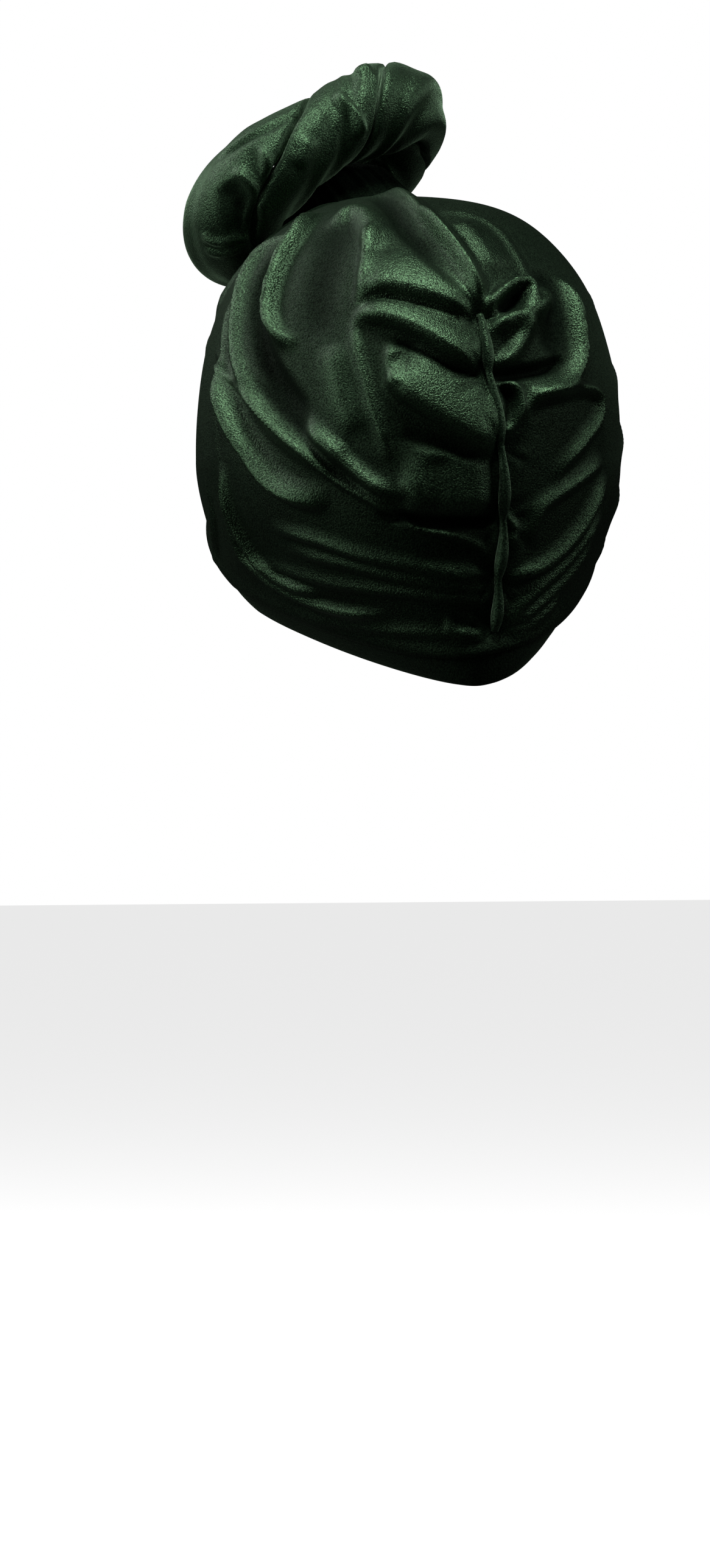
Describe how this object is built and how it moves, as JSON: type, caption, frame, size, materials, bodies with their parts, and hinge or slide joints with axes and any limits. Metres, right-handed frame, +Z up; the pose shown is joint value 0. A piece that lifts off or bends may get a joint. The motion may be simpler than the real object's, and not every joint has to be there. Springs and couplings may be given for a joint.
{
  "type": "turban headwrap",
  "caption": "Stretch-velvet turban in its worn shape: a draped, gathered cap with a hem band and a thick twisted knot on the top of the front.",
  "frame": {"origin": "where the top of the head touches the inside of the crown, on the head's upright axis", "axes": "+Z up along the head, -Y the way the face looks, +X to the wearer's left"},
  "size_m": [0.1773, 0.2125, 0.2658],
  "materials": {
    "velvet_crown": "short dense velvet pile",
    "velvet_seam": "short dense velvet pile",
    "velvet_band": "short dense velvet pile",
    "velvet_knot": "short dense velvet pile",
    "velvet_neck": "short dense velvet pile"
  },
  "bodies": {
    "root": {"crown": "velvet_crown", "back_seam": "velvet_seam", "hem_band": "velvet_band", "knot_strand_a": "velvet_knot", "knot_strand_b": "velvet_knot", "knot_neck": "velvet_neck"}
  },
  "joints": []
}
